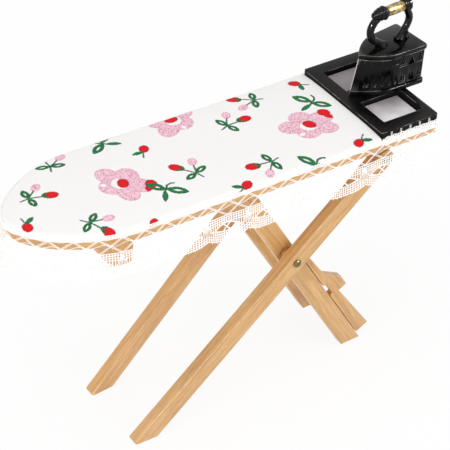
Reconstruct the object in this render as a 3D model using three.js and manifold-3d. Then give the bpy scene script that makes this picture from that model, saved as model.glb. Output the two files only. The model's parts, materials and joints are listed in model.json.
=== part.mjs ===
// A 1:12 folding ironing board: padded deck with a lace flounce, cast iron rest
// at the square end, crossed wooden legs and a loose charcoal iron on the rest.
// Millimetres, +Z up, +X towards the square end, the feet stand on z = 0.
import * as THREE from 'three';
import { mergeVertices } from 'three/addons/utils/BufferGeometryUtils.js';
import Module from 'manifold-3d';

const wasm = await Module();
wasm.setup();

// Fits and clearances
const seatGap = 0.2;
const boreGap = 0.25;
const cutOver = 1;

// Stance: the deck leans nose-up on its legs
const deckTilt = THREE.MathUtils.degToRad(2.86);
const hingeHeight = 61.4;
const outerFootReach = 68.7;
const innerFootReach = 4.1;
const pivotShare = 0.364;

// Wooden deck
const deckHalfWidth = 16.3;
const deckThickness = 3.9;
const deckTail = 14.8;
const deckNose = 95.6;
const noseLength = 24;
const nosePower = 1.7;
const hingeDrop = 2.84;
const deckEdgeRound = 0.4;

// Wadding, cotton cover and lace flounce
const waddingRise = 0.25;
const waddingInset = 0.5;
const coverThickness = 0.4;
const coverWrap = 2.0;
const coverCrown = 0.25;
const laceThickness = 0.35;
const laceDrop = 9.2;
const laceHeading = 2.3;
const laceFlare = 1.1;
const laceWave = 0.55;
const laceScallop = 1.8;
const laceScallopPitch = 11.4;

// Cast iron rest
const trayLength = 17.2;
const trayHalfWidth = 16.5;
const trayHeight = 1.7;
const trayLeftRim = 3.45;
const trayRightRim = 1.8;
const traySideRim = 3.75;
const trayBar = 6;
const trayDraft = 0.6;
const trayCorner = 0.7;
const linerThickness = 0.45;
const linerGap = 0.3;
const beadRadius = 0.32;
const beadPitch = 2.85;
const beadCount = 5;

// Battens and hinge under the deck
const noseBattenInset = 18.4;
const noseBattenWidth = 5.7;
const noseBattenDepth = 6;
const cleatWidth = 7.4;
const cleatThickness = 2;
const cleatReach = 2.6;
const hingePinRadius = 0.7;
const hingeHeadRadius = 1.1;
const hingeHeadRise = 0.45;

// Legs
const outerLegWidth = 4.6;
const outerLegThickness = 3.1;
const outerFootHalf = 12.35;
const outerTopHalf = 16.0;
const outerToeRound = 1.8;
const innerToeRound = 0.5;
const innerLegWidth = 5.0;
const innerLegThickness = 2.2;
const innerHalf = 9.8;
const innerTopReach = 26;
const pinRadius = 0.6;
const pinHeadRadius = 1.05;
const pinHeadRise = 0.4;
const washerRadius = 1.7;
const topRailRadius = 1.3;

// Foot rail between the inner legs, and the catch bar along the near one
const footRailWidth = 6.2;
const footRailThickness = 2.6;
const footRailPlace = 4;
const catchBarFoot = 0.8;
const catchBarLength = 36;
const catchBarFootThickness = 4.1;
const catchBarTopThickness = 1.6;
const catchPlace = 18.8;
const catchFlat = 3.5;
const catchRamp = 5;
const catchRise = 2.6;
const catchSlotStart = 19.5;
const catchSlotEnd = 24.2;
const catchSlotDepth = 1.1;

// Charcoal iron
const ironToe = 0.7;
const ironAside = 1.0;
const ironTurn = THREE.MathUtils.degToRad(4.3);
const ironLength = 18.6;
const ironBackHalf = 5.7;
const ironShoulder = 10.8;
const ironShoulderHalf = 5.15;
const ironSoleHeight = 1.3;
const ironSoleLip = 0.35;
const ironBodyHeight = 8.1;
const ironLidHeight = 1.25;
const ironLidLip = 0.3;
const ironCorner = 0.9;
const ironToeLean = 1.9;
const ironHeelLean = 0.35;
const ventDepth = 0.7;
const ventWidth = 1.7;
const ventHeight = 2.3;
const ventCount = 3;
const toothWidth = 2.1;
const toothHeight = 2.5;
const holeRadius = 0.42;
const holePitch = 1.75;
const holeCount = 5;
const gripHeight = 20.5;
const gripRadius = 1.25;
const gripStart = 9.7;
const gripEndInset = 3.5;
const ferruleRadius = 1.85;
const ferruleLength = 4.3;
const rearFerruleLength = 2.6;
const ferruleRing = 0.28;
const ferruleRings = 4;
const rearFerruleRings = 2;
const postRadius = 0.8;
const frontPostFoot = 8.9;
const frontPostBow = 4.9;
const rearPostInset = 3.7;
const rearBowInset = 1.0;
const postPadRadius = 1.5;
const postPadHeight = 0.7;

// Facet counts
const noseSteps = 22;
const roundSteps = 24;
const smallSteps = 16;
const edgeSteps = 2;
const cornerSteps = 4;
const beadSteps = 6;
const holeSteps = 8;
const ironSteps = 8;
const postSteps = 12;
const postFacets = 10;
const ringShares = [0.3, 0.55, 0.75, 0.88, 0.96, 1];
const crownPower = 4;
const lacePerScallop = 8;
const laceRowShares = [0, 0.3, 0.62, 1];
const laceFlareShares = [0, 0.12, 0.5, 1];
const gathersPerScallop = 1;

// Finishes
const finish = {
  beech: { color: 0xd9a868, roughness: 0.45, metalness: 0 },
  wadding: { color: 0xf4f1ea, roughness: 1, metalness: 0 },
  cotton: { color: 0xf7f5f2, roughness: 0.9, metalness: 0 },
  lace: { color: 0xffffff, roughness: 0.9, metalness: 0 },
  castBlack: { color: 0x1b1b1c, roughness: 0.4, metalness: 0.3 },
  steel: { color: 0x5c5446, roughness: 0.4, metalness: 0.9 },
  brass: { color: 0xb8954a, roughness: 0.35, metalness: 0.6 },
};

// A closed three.js geometry as a solid, and back again
function solid(geometry) {
  const bare = geometry.clone();
  for (const name of Object.keys(bare.attributes)) {
    if (name !== 'position') bare.deleteAttribute(name);
  }
  const merged = mergeVertices(bare);
  const index = merged.index.array;
  const kept = [];
  for (let i = 0; i < index.length; i += 3) {
    const [a, b, c] = [index[i], index[i + 1], index[i + 2]];
    if (a !== b && b !== c && c !== a) kept.push(a, b, c);
  }
  return new wasm.Manifold(new wasm.Mesh({
    numProp: 3,
    vertProperties: new Float32Array(merged.attributes.position.array),
    triVerts: new Uint32Array(kept),
  }));
}

function surface(body) {
  const mesh = body.getMesh();
  const geometry = new THREE.BufferGeometry();
  geometry.setAttribute('position', new THREE.BufferAttribute(new Float32Array(mesh.vertProperties), 3));
  geometry.setIndex(new THREE.BufferAttribute(new Uint32Array(mesh.triVerts), 1));
  return geometry;
}

function cut(geometry, tools) {
  let body = solid(geometry);
  for (const tool of tools) body = body.subtract(solid(tool));
  return surface(body);
}

function joined(geometries) {
  return surface(geometries.map(solid).reduce((all, next) => all.add(next)));
}

function piece(name, geometry, look) {
  const flat = geometry.index ? geometry.toNonIndexed() : geometry;
  flat.computeVertexNormals();
  const mesh = new THREE.Mesh(flat, new THREE.MeshStandardMaterial({ ...look, flatShading: true }));
  mesh.name = name;
  return mesh;
}

// Profiles drawn in the XZ plane and given a thickness along Y
function slab(shape, yFrom, yTo, curveSegments = smallSteps) {
  const geometry = new THREE.ExtrudeGeometry(shape, { depth: yTo - yFrom, bevelEnabled: false, curveSegments });
  geometry.rotateX(Math.PI / 2);
  geometry.translate(0, yTo, 0);
  return geometry;
}

function rodY(radius, yFrom, yTo, x, z, steps = smallSteps) {
  const geometry = new THREE.CylinderGeometry(radius, radius, yTo - yFrom, steps);
  geometry.translate(x, (yFrom + yTo) / 2, z);
  return geometry;
}

function block(xFrom, xTo, yFrom, yTo, zFrom, zTo) {
  const geometry = new THREE.BoxGeometry(xTo - xFrom, yTo - yFrom, zTo - zFrom);
  geometry.translate((xFrom + xTo) / 2, (yFrom + yTo) / 2, (zFrom + zTo) / 2);
  return geometry;
}

function turned(profile, steps = roundSteps) {
  return new THREE.LatheGeometry(profile.map(([r, h]) => new THREE.Vector2(r, h)), steps);
}

// The deck's frame starts at the hinge axis, x along the deck and z square to it
const deckUnder = hingeDrop;
const deckTop = deckUnder + deckThickness;
const trayLeft = deckTail - trayLength;

// Outline of the deck grown by a margin: straight sides and a blunt oval nose
function deckOutline(margin, tail) {
  const half = deckHalfWidth + margin;
  const oval = noseLength + margin;
  const start = noseLength - deckNose;
  const points = [];
  for (let i = 0; i <= noseSteps; i += 1) {
    const turn = (Math.PI * i) / noseSteps - Math.PI / 2;
    const along = Math.cos(turn) ** (2 / nosePower);
    const aside = Math.sign(turn) * Math.abs(Math.sin(turn)) ** (2 / nosePower);
    points.push(new THREE.Vector2(start - (i % noseSteps === 0 ? 0 : oval * along), half * aside));
  }
  return [new THREE.Vector2(tail, -half), ...points, new THREE.Vector2(tail, half)];
}

function deckPrism(margin, tail, zFrom, zTo, round = 0) {
  const outline = deckOutline(margin - round, tail - round).reverse();
  const geometry = new THREE.ExtrudeGeometry(new THREE.Shape(outline), {
    depth: zTo - zFrom - 2 * round,
    bevelEnabled: round > 0,
    bevelThickness: round,
    bevelSize: round,
    bevelSegments: edgeSteps,
  });
  geometry.translate(0, 0, zFrom + round);
  return geometry;
}

// A crowned pad over the deck's outline, from a spine of highest points to the rim
function crownedPad(margin, tail, zBottom, zRim, rise) {
  const outline = deckOutline(margin, tail);
  const spineStart = noseLength - deckNose;
  const count = outline.length;
  const rings = [0, ...ringShares].map((share) => outline.map((rim) => {
    const spineX = Math.max(rim.x, spineStart);
    const x = THREE.MathUtils.lerp(spineX, rim.x, share);
    const z = zRim + rise * (1 - share ** crownPower);
    return [x, rim.y * share, z];
  }));
  rings.push(outline.map((rim) => [rim.x, rim.y, zBottom]));
  const bottom = outline.map((rim) => [Math.max(rim.x, spineStart), 0, zBottom]);
  rings.push(bottom);
  const positions = rings.flat(2);
  const index = [];
  for (let r = 0; r + 1 < rings.length; r += 1) {
    for (let i = 0; i < count; i += 1) {
      const next = (i + 1) % count;
      const [a, b, c, d] = [r * count + i, r * count + next, (r + 1) * count + next, (r + 1) * count + i];
      index.push(a, b, c, a, c, d);
    }
  }
  const geometry = new THREE.BufferGeometry();
  geometry.setAttribute('position', new THREE.Float32BufferAttribute(positions, 3));
  geometry.setIndex(index);
  return geometry;
}

function makeCover() {
  const coverMargin = seatGap / 2 + coverThickness;
  const tail = trayLeft - seatGap;
  const rimTop = deckTop + seatGap + coverThickness;
  const outer = crownedPad(coverMargin, tail, deckTop - coverWrap, rimTop, waddingRise + coverCrown);
  const inner = crownedPad(seatGap / 2, tail + cutOver, deckTop - coverWrap - cutOver, rimTop - coverThickness,
    waddingRise + coverCrown);
  return cut(outer, [inner]);
}

function makeWadding() {
  return crownedPad(-waddingInset, trayLeft - seatGap, deckTop + seatGap / 2, deckTop + seatGap,
    waddingRise);
}

// The flounce follows the deck's edge from one square corner round the nose to the other
function lacePath() {
  const margin = seatGap / 2 + coverThickness + seatGap;
  const corners = deckOutline(margin, deckTail);
  const curve = new THREE.CurvePath();
  for (let i = 0; i + 1 < corners.length; i += 1) curve.add(new THREE.LineCurve(corners[i], corners[i + 1]));
  return curve;
}

function makeLace() {
  const curve = lacePath();
  const length = curve.getLength();
  const scallops = Math.round(length / laceScallopPitch);
  const columns = scallops * lacePerScallop;
  const top = deckTop - seatGap;
  const grids = [[], []];
  for (let i = 0; i <= columns; i += 1) {
    const share = i / columns;
    const point = curve.getPointAt(share);
    const before = curve.getPointAt(Math.max(share - 1 / columns, 0));
    const after = curve.getPointAt(Math.min(share + 1 / columns, 1));
    const along = after.clone().sub(before).normalize();
    const out = new THREE.Vector2(along.y, -along.x);
    const phase = 2 * Math.PI * share * scallops;
    const dip = laceScallop * Math.abs(Math.sin(phase / 2));
    const drop = laceHeading + laceDrop - laceScallop + dip;
    laceRowShares.forEach((row, j) => {
      const wave = 1 + (laceWave / laceFlare) * Math.cos(phase * gathersPerScallop);
      const swing = laceFlare * laceFlareShares[j] * wave;
      for (const [side, thick] of [[0, 0], [1, laceThickness]]) {
        const flat = point.clone().addScaledVector(out, -swing - thick);
        grids[side].push([flat.x, flat.y, top - drop * row]);
      }
    });
  }
  const rows = laceRowShares.length;
  const at = (side, i, j) => side * (columns + 1) * rows + i * rows + j;
  const index = [];
  const quad = (a, b, c, d) => index.push(a, b, c, a, c, d);
  for (let i = 0; i < columns; i += 1) {
    for (let j = 0; j + 1 < rows; j += 1) {
      quad(at(0, i, j), at(0, i + 1, j), at(0, i + 1, j + 1), at(0, i, j + 1));
      quad(at(1, i, j), at(1, i, j + 1), at(1, i + 1, j + 1), at(1, i + 1, j));
    }
    quad(at(0, i, 0), at(1, i, 0), at(1, i + 1, 0), at(0, i + 1, 0));
    quad(at(0, i, rows - 1), at(0, i + 1, rows - 1), at(1, i + 1, rows - 1), at(1, i, rows - 1));
  }
  for (let j = 0; j + 1 < rows; j += 1) {
    quad(at(0, 0, j), at(0, 0, j + 1), at(1, 0, j + 1), at(1, 0, j));
    quad(at(0, columns, j), at(1, columns, j), at(1, columns, j + 1), at(0, columns, j + 1));
  }
  const geometry = new THREE.BufferGeometry();
  geometry.setAttribute('position', new THREE.Float32BufferAttribute(grids.flat(2), 3));
  geometry.setIndex(index.reverse());
  return geometry;
}

// Rounded rectangle for the rest and its linings
function roundedRect(xFrom, xTo, yFrom, yTo, radius) {
  const shape = new THREE.Shape();
  shape.moveTo(xFrom + radius, yFrom);
  shape.lineTo(xTo - radius, yFrom);
  shape.absarc(xTo - radius, yFrom + radius, radius, -Math.PI / 2, 0, false);
  shape.lineTo(xTo, yTo - radius);
  shape.absarc(xTo - radius, yTo - radius, radius, 0, Math.PI / 2, false);
  shape.lineTo(xFrom + radius, yTo);
  shape.absarc(xFrom + radius, yTo - radius, radius, Math.PI / 2, Math.PI, false);
  shape.lineTo(xFrom, yFrom + radius);
  shape.absarc(xFrom + radius, yFrom + radius, radius, Math.PI, 1.5 * Math.PI, false);
  return shape;
}

const trayBottom = deckTop + seatGap;
const trayTop = trayBottom + trayHeight;
const windowLeft = trayLeft + trayLeftRim;
const windowRight = deckTail - trayRightRim;
const windowNear = trayBar / 2;
const windowFar = trayHalfWidth - traySideRim;

// A window through the rest whose right wall leans, as a casting's does
function windowCutter(side) {
  const shape = new THREE.Shape();
  shape.moveTo(windowLeft, trayBottom - cutOver);
  shape.lineTo(windowRight - trayDraft - (trayDraft * cutOver) / trayHeight, trayBottom - cutOver);
  shape.lineTo(windowRight + (trayDraft * cutOver) / trayHeight, trayTop + cutOver);
  shape.lineTo(windowLeft, trayTop + cutOver);
  shape.closePath();
  const [from, to] = side < 0 ? [-windowFar, -windowNear] : [windowNear, windowFar];
  return slab(shape, from, to);
}

function makeTray() {
  const plate = new THREE.ExtrudeGeometry(
    roundedRect(trayLeft, deckTail, -trayHalfWidth, trayHalfWidth, trayCorner),
    { depth: trayHeight, bevelEnabled: false, curveSegments: cornerSteps },
  );
  plate.translate(0, 0, trayBottom);
  const beads = [];
  const first = (trayLeft + deckTail) / 2 - ((beadCount - 1) * beadPitch) / 2;
  for (const side of [-1, 1]) {
    for (let i = 0; i < beadCount; i += 1) {
      const bead = new THREE.CylinderGeometry(beadRadius, beadRadius, trayHeight - 2 * beadRadius,
        beadSteps);
      bead.rotateX(Math.PI / 2);
      bead.translate(first + i * beadPitch, side * trayHalfWidth, trayBottom + trayHeight / 2);
      beads.push(bead);
    }
  }
  const cast = joined([plate, ...beads]);
  return cut(cast, [windowCutter(-1), windowCutter(1)]);
}

function makeLiner(side) {
  const [from, to] = side < 0 ? [-windowFar, -windowNear] : [windowNear, windowFar];
  return block(windowLeft + linerGap, windowRight - trayDraft - linerGap, from + linerGap, to - linerGap,
    trayBottom, trayBottom + linerThickness);
}

// The outer legs stand wider at the hinge than at the floor
const outerSpread = (outerTopHalf - outerFootHalf) / outerFootReach;
const outerHalfAt = (x) => outerTopHalf + outerSpread * x;
const cleatOuter = outerHalfAt(-cleatWidth) - outerLegThickness - seatGap;
const cleatInner = cleatOuter - cleatThickness;

function makeCleat(side) {
  const outer = side * cleatOuter;
  const inner = side * cleatInner;
  const shape = new THREE.Shape();
  shape.moveTo(-cleatWidth / 2, deckUnder - seatGap);
  shape.lineTo(-cleatWidth / 2, 0);
  shape.absarc(0, 0, cleatReach, Math.PI, 2 * Math.PI, false);
  shape.lineTo(cleatWidth / 2, 0);
  shape.lineTo(cleatWidth / 2, deckUnder - seatGap);
  shape.closePath();
  const body = slab(shape, Math.min(inner, outer), Math.max(inner, outer));
  const bore = rodY(hingePinRadius + boreGap, Math.min(inner, outer) - cutOver, Math.max(inner, outer) + cutOver, 0, 0);
  return cut(body, [bore]);
}

// The batten is as long as the deck is wide where it lies
function makeNoseBatten() {
  const from = noseBattenInset - deckNose;
  const intoNose = Math.max(1 - noseBattenInset / noseLength, 0);
  const half = deckHalfWidth * (1 - intoNose ** nosePower) ** (1 / nosePower);
  return block(from, from + noseBattenWidth, -half, half, deckUnder - seatGap - noseBattenDepth, deckUnder - seatGap);
}

// Leg lines at rest, measured from the hinge axis in the upright frame
const outerFoot = new THREE.Vector2(-outerFootReach, -hingeHeight);
const outerDown = outerFoot.clone().normalize();
const pivot = outerFoot.clone().multiplyScalar(pivotShare);
const innerFoot = new THREE.Vector2(-innerFootReach, -hingeHeight);
const innerDown = innerFoot.clone().sub(pivot).normalize();
const innerTop = pivot.clone().addScaledVector(innerDown, -innerTopReach);
const sideOf = (along) => new THREE.Vector2(-along.y, along.x);

// A bar with a round top at one point and a foot cut level with the floor
function legShape(top, along, width, toeSide, toeRound) {
  const across = sideOf(along);
  const half = width / 2;
  const foot = (offset) => {
    const from = top.clone().addScaledVector(across, offset);
    return from.addScaledVector(along, (-hingeHeight - from.y) / along.y);
  };
  const [heel, toe] = [foot(-toeSide * half), foot(toeSide * half)];
  const start = Math.atan2(-toeSide * across.y, -toeSide * across.x);
  const shape = new THREE.Shape();
  const shoulder = top.clone().addScaledVector(across, -toeSide * half);
  shape.moveTo(heel.x, heel.y);
  shape.lineTo(shoulder.x, shoulder.y);
  shape.absarc(top.x, top.y, half, start, start + toeSide * -Math.PI, toeSide > 0);
  const above = toe.clone().addScaledVector(along, -toeRound);
  const inward = new THREE.Vector2(Math.sign(heel.x - toe.x) * toeRound, 0).add(toe);
  shape.lineTo(above.x, above.y);
  shape.quadraticCurveTo(toe.x, toe.y, inward.x, inward.y);
  shape.closePath();
  return shape;
}

function splay(geometry, side) {
  const position = geometry.attributes.position;
  for (let i = 0; i < position.count; i += 1) {
    position.setY(i, position.getY(i) + side * outerSpread * position.getX(i));
  }
  return geometry;
}

function makeOuterLeg(side) {
  const outer = side * outerTopHalf;
  const inner = side * (outerTopHalf - outerLegThickness);
  const bar = slab(legShape(new THREE.Vector2(0, 0), outerDown, outerLegWidth, -1, outerToeRound),
    Math.min(inner, outer), Math.max(inner, outer));
  const reach = outerTopHalf + cutOver;
  const bores = [
    rodY(hingePinRadius + boreGap, -reach, reach, 0, 0),
    rodY(pinRadius + boreGap, -reach, reach, pivot.x, pivot.y),
  ];
  return cut(splay(bar, side), bores);
}

function makeInnerLeg(side) {
  const outer = side * innerHalf;
  const inner = side * (innerHalf - innerLegThickness);
  const bar = slab(legShape(innerTop, innerDown, innerLegWidth, 1, innerToeRound),
    Math.min(inner, outer), Math.max(inner, outer));
  const reach = innerHalf + cutOver;
  const bores = [
    rodY(pinRadius + boreGap, -reach, reach, pivot.x, pivot.y),
    rodY(topRailRadius + boreGap, -reach, reach, innerTop.x, innerTop.y),
  ];
  return cut(bar, bores);
}

// Places on an inner leg: a distance up from the floor and one out from its upper face
const innerAcross = sideOf(innerDown);
function onInnerLeg(up, out) {
  return innerFoot.clone().addScaledVector(innerDown, -up).addScaledVector(innerAcross, innerLegWidth / 2 + out);
}

function makeFootRail() {
  const end = footRailPlace + footRailWidth;
  const shape = new THREE.Shape([onInnerLeg(footRailPlace, -footRailThickness), onInnerLeg(footRailPlace, 0),
    onInnerLeg(end, 0), onInnerLeg(end, -footRailThickness)]);
  const reach = innerHalf - innerLegThickness - seatGap;
  return slab(shape, -reach, reach);
}

// A tapering bar on the near leg's upper face, with a wedge that stands proud of it
function makeCatchBar() {
  const thick = (up) => THREE.MathUtils.lerp(catchBarFootThickness, catchBarTopThickness,
    (up - catchBarFoot) / catchBarLength);
  const end = catchBarFoot + catchBarLength;
  const flatEnd = catchPlace + catchFlat;
  const rampEnd = flatEnd + catchRamp;
  const shape = new THREE.Shape([
    onInnerLeg(catchBarFoot, seatGap),
    onInnerLeg(catchBarFoot, thick(catchBarFoot)),
    onInnerLeg(catchPlace, thick(catchPlace)),
    onInnerLeg(catchPlace, thick(catchPlace) + catchRise),
    onInnerLeg(flatEnd, thick(catchPlace) + catchRise),
    onInnerLeg(rampEnd, thick(rampEnd)),
    onInnerLeg(end, thick(end)),
    onInnerLeg(end, seatGap),
    onInnerLeg(catchSlotEnd, seatGap),
    onInnerLeg(catchSlotEnd, catchSlotDepth),
    onInnerLeg(catchSlotStart, catchSlotDepth),
    onInnerLeg(catchSlotStart, seatGap),
  ]);
  return slab(shape, -innerHalf, innerLegThickness - innerHalf);
}

function makeTopRail() {
  return rodY(topRailRadius, -innerHalf, innerHalf, innerTop.x, innerTop.y);
}

// Domed heads on straight pins, turned about their own axis and laid along Y
function headedPin(radius, headRadius, headRise, from, to, side) {
  const pin = turned([[0, 0], [radius, 0], [radius, to - from], [headRadius, to - from],
    [headRadius * Math.cos(Math.PI / 4), to - from + headRise * Math.sin(Math.PI / 3)],
    [0, to - from + headRise]], smallSteps);
  pin.rotateZ(side < 0 ? Math.PI : 0);
  pin.translate(0, side * from, 0);
  return pin;
}

function makePivotPin(side) {
  const seat = outerHalfAt(pivot.x + pinHeadRadius) + seatGap;
  const pin = headedPin(pinRadius, pinHeadRadius, pinHeadRise, innerHalf - innerLegThickness - seatGap, seat, side);
  pin.translate(pivot.x, 0, pivot.y);
  return pin;
}

function makeWasher(side) {
  const from = innerHalf + seatGap;
  const to = outerHalfAt(pivot.x - washerRadius) - outerLegThickness - seatGap;
  const ring = turned([[pinRadius + boreGap, from], [washerRadius, from], [washerRadius, to],
    [pinRadius + boreGap, to], [pinRadius + boreGap, from]], smallSteps);
  ring.rotateZ(side < 0 ? Math.PI : 0);
  ring.translate(pivot.x, 0, pivot.y);
  return ring;
}

function makeHingePin(side) {
  const seat = outerHalfAt(hingeHeadRadius) + seatGap;
  return headedPin(hingePinRadius, hingeHeadRadius, hingeHeadRise, cleatInner, seat, side);
}

// The charcoal iron is drawn with its toe at the origin and its heel along +X
function ironOutline(grow) {
  const shape = new THREE.Shape();
  const half = ironBackHalf + grow;
  const shoulder = ironShoulderHalf + grow;
  const back = ironLength + grow;
  const bulge = ironShoulderHalf / ironShoulder;
  shape.moveTo(-grow, 0);
  shape.quadraticCurveTo(ironShoulder / 2, -shoulder * (bulge + 1 / 2), ironShoulder, -shoulder);
  shape.lineTo(back - ironCorner, -half);
  shape.quadraticCurveTo(back, -half, back, ironCorner - half);
  shape.lineTo(back, half - ironCorner);
  shape.quadraticCurveTo(back, half, back - ironCorner, half);
  shape.lineTo(ironShoulder, shoulder);
  shape.quadraticCurveTo(ironShoulder / 2, shoulder * (bulge + 1 / 2), -grow, 0);
  return shape;
}

function ironLayer(grow, zFrom, zTo) {
  const geometry = new THREE.ExtrudeGeometry(ironOutline(grow), { depth: zTo - zFrom, bevelEnabled: false,
    curveSegments: ironSteps });
  geometry.translate(0, 0, zFrom);
  return geometry;
}

// Side frame of the iron's rear flank, for the vents and teeth cut in it
function flankCutter(shape, side, along, depth) {
  const slope = (ironBackHalf - ironShoulderHalf) / (ironLength - ironShoulder);
  const half = ironShoulderHalf + slope * (along - ironShoulder);
  const tool = slab(shape, half - depth, half + cutOver);
  tool.translate(along, 0, 0);
  if (side < 0) {
    tool.rotateZ(Math.PI);
    tool.translate(2 * along, 0, 0);
  }
  return tool;
}

const gripEnd = ironLength - gripEndInset;
const bodyBottom = ironSoleHeight + seatGap;
const bodyTop = bodyBottom + ironBodyHeight;

function archShape(base) {
  const shape = new THREE.Shape();
  const half = ventWidth / 2;
  shape.moveTo(-half, base);
  shape.lineTo(half, base);
  shape.lineTo(half, base + ventHeight - half);
  shape.absarc(0, base + ventHeight - half, half, 0, Math.PI, false);
  shape.closePath();
  return shape;
}

function toothShape(base) {
  const shape = new THREE.Shape();
  shape.moveTo(-toothWidth / 2, base);
  shape.lineTo(toothWidth / 2, base);
  shape.lineTo(0, base + toothHeight);
  shape.closePath();
  return shape;
}

// The iron's toe and heel both lean towards the rear as they rise
function leaned(geometry) {
  const position = geometry.attributes.position;
  for (let i = 0; i < position.count; i += 1) {
    const x = position.getX(i);
    const share = Math.min((position.getZ(i) - bodyBottom) / ironBodyHeight, 1);
    const toe = ironToeLean * Math.max(1 - x / ironShoulder, 0);
    const heel = ironHeelLean * Math.max((x - ironShoulder) / (ironLength - ironShoulder), 0);
    position.setX(i, x + share * (toe + heel));
  }
  return geometry;
}

function makeIronBody() {
  const body = leaned(ironLayer(0, bodyBottom, bodyTop));
  const tools = [];
  const flank = ironLength - ironShoulder;
  for (const side of [-1, 1]) {
    for (let i = 0; i < ventCount; i += 1) {
      const along = ironShoulder + (flank * (i + 1 / 2)) / ventCount;
      tools.push(flankCutter(archShape(bodyBottom + ventWidth / 4), side, along, ventDepth));
      tools.push(flankCutter(toothShape(bodyTop - toothHeight - ventWidth / 4), side, along, ventDepth));
    }
    for (let i = 0; i < holeCount; i += 1) {
      const along = ironShoulder - holePitch * (i + 1 / 2);
      const half = ironOutlineHalf(along);
      const hole = rodY(holeRadius, half - ventDepth, half + cutOver, along, bodyBottom + ventHeight / 2,
        holeSteps);
      if (side < 0) hole.rotateZ(Math.PI).translate(2 * along, 0, 0);
      tools.push(hole);
    }
  }
  return cut(body, tools);
}

// Half width of the toe's curved side at a distance from the toe
function ironOutlineHalf(along) {
  const share = along / ironShoulder;
  const bulge = ironShoulderHalf / ironShoulder + 1 / 2;
  return ironShoulderHalf * (2 * share * (1 - share) * bulge + share * share);
}

const lidBottom = bodyTop + seatGap;
const lidTop = lidBottom + ironLidHeight;

function makeIronLid() {
  return leaned(ironLayer(ironLidLip, lidBottom, lidTop));
}

// A bowed post from a round pad on the lid up to its ferrule
function makePost(foot, bow, top) {
  const padTop = lidTop + seatGap + postPadHeight;
  const pad = new THREE.CylinderGeometry(postPadRadius, postPadRadius, postPadHeight, smallSteps);
  pad.rotateX(Math.PI / 2);
  pad.translate(foot, 0, padTop - postPadHeight / 2);
  const rise = gripHeight - ferruleRadius - seatGap - padTop;
  const overlap = postPadHeight / 2;
  const curve = new THREE.CatmullRomCurve3([
    new THREE.Vector3(foot, 0, padTop - overlap),
    new THREE.Vector3(THREE.MathUtils.lerp(foot, bow, 1 / 2), 0, padTop + rise / 5),
    new THREE.Vector3(bow, 0, padTop + (3 * rise) / 5),
    new THREE.Vector3(top, 0, padTop + rise - postRadius / 2),
    new THREE.Vector3(top, 0, padTop + rise),
  ]);
  const section = new THREE.Shape();
  section.absarc(0, 0, postRadius, 0, 2 * Math.PI, false);
  const tube = new THREE.ExtrudeGeometry(section, { steps: postSteps, extrudePath: curve, curveSegments: postFacets });
  return joined([pad, tube]);
}

function layAlongX(geometry, from) {
  geometry.rotateZ(-Math.PI / 2);
  geometry.translate(from, 0, gripHeight);
  return geometry;
}

function makeFerrule(from, length, rings) {
  const ringLength = length / rings;
  const profile = [[0, 0]];
  for (let i = 0; i < rings; i += 1) {
    const start = i * ringLength;
    profile.push([ferruleRadius - ferruleRing, start], [ferruleRadius, start + ringLength / 3],
      [ferruleRadius, start + (2 * ringLength) / 3]);
  }
  profile.push([ferruleRadius - ferruleRing, length], [0, length]);
  return layAlongX(turned(profile), from);
}

function makeGrip() {
  const length = gripEnd - gripStart;
  const waist = gripRadius * (1 + seatGap / 2);
  return layAlongX(turned([[0, 0], [gripRadius, 0], [waist, length / 3], [waist, (2 * length) / 3],
    [gripRadius, length], [0, length]]), gripStart);
}

// Assembly
const part = new THREE.Group();
const deck = new THREE.Group();
const legs = new THREE.Group();
const iron = new THREE.Group();
part.add(deck, legs);
deck.add(iron);
deck.position.set(0, 0, hingeHeight);
deck.rotation.y = deckTilt;
legs.position.set(0, 0, hingeHeight);
iron.position.set(ironToe, ironAside, trayTop + seatGap);
iron.rotation.z = ironTurn;

deck.add(
  piece('deck_panel', deckPrism(0, deckTail, deckUnder, deckTop, deckEdgeRound), finish.beech),
  piece('wadding_pad', surface(solid(makeWadding())), finish.wadding),
  piece('cotton_cover', makeCover(), finish.cotton),
  piece('lace_flounce', makeLace(), finish.lace),
  piece('iron_rest', makeTray(), finish.castBlack),
  piece('rest_lining_near', makeLiner(-1), finish.cotton),
  piece('rest_lining_far', makeLiner(1), finish.cotton),
  piece('nose_batten', makeNoseBatten(), finish.beech),
  piece('hinge_cleat_near', makeCleat(-1), finish.beech),
  piece('hinge_cleat_far', makeCleat(1), finish.beech),
);

legs.add(
  piece('hinge_pin_near', makeHingePin(-1), finish.steel),
  piece('hinge_pin_far', makeHingePin(1), finish.steel),
  piece('outer_leg_near', makeOuterLeg(-1), finish.beech),
  piece('outer_leg_far', makeOuterLeg(1), finish.beech),
  piece('pivot_pin_near', makePivotPin(-1), finish.steel),
  piece('pivot_pin_far', makePivotPin(1), finish.steel),
  piece('pivot_washer_near', makeWasher(-1), finish.steel),
  piece('pivot_washer_far', makeWasher(1), finish.steel),
  piece('inner_leg_near', makeInnerLeg(-1), finish.beech),
  piece('inner_leg_far', makeInnerLeg(1), finish.beech),
  piece('inner_top_rail', makeTopRail(), finish.beech),
  piece('foot_rail', makeFootRail(), finish.beech),
  piece('catch_bar', makeCatchBar(), finish.beech),
);

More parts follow.
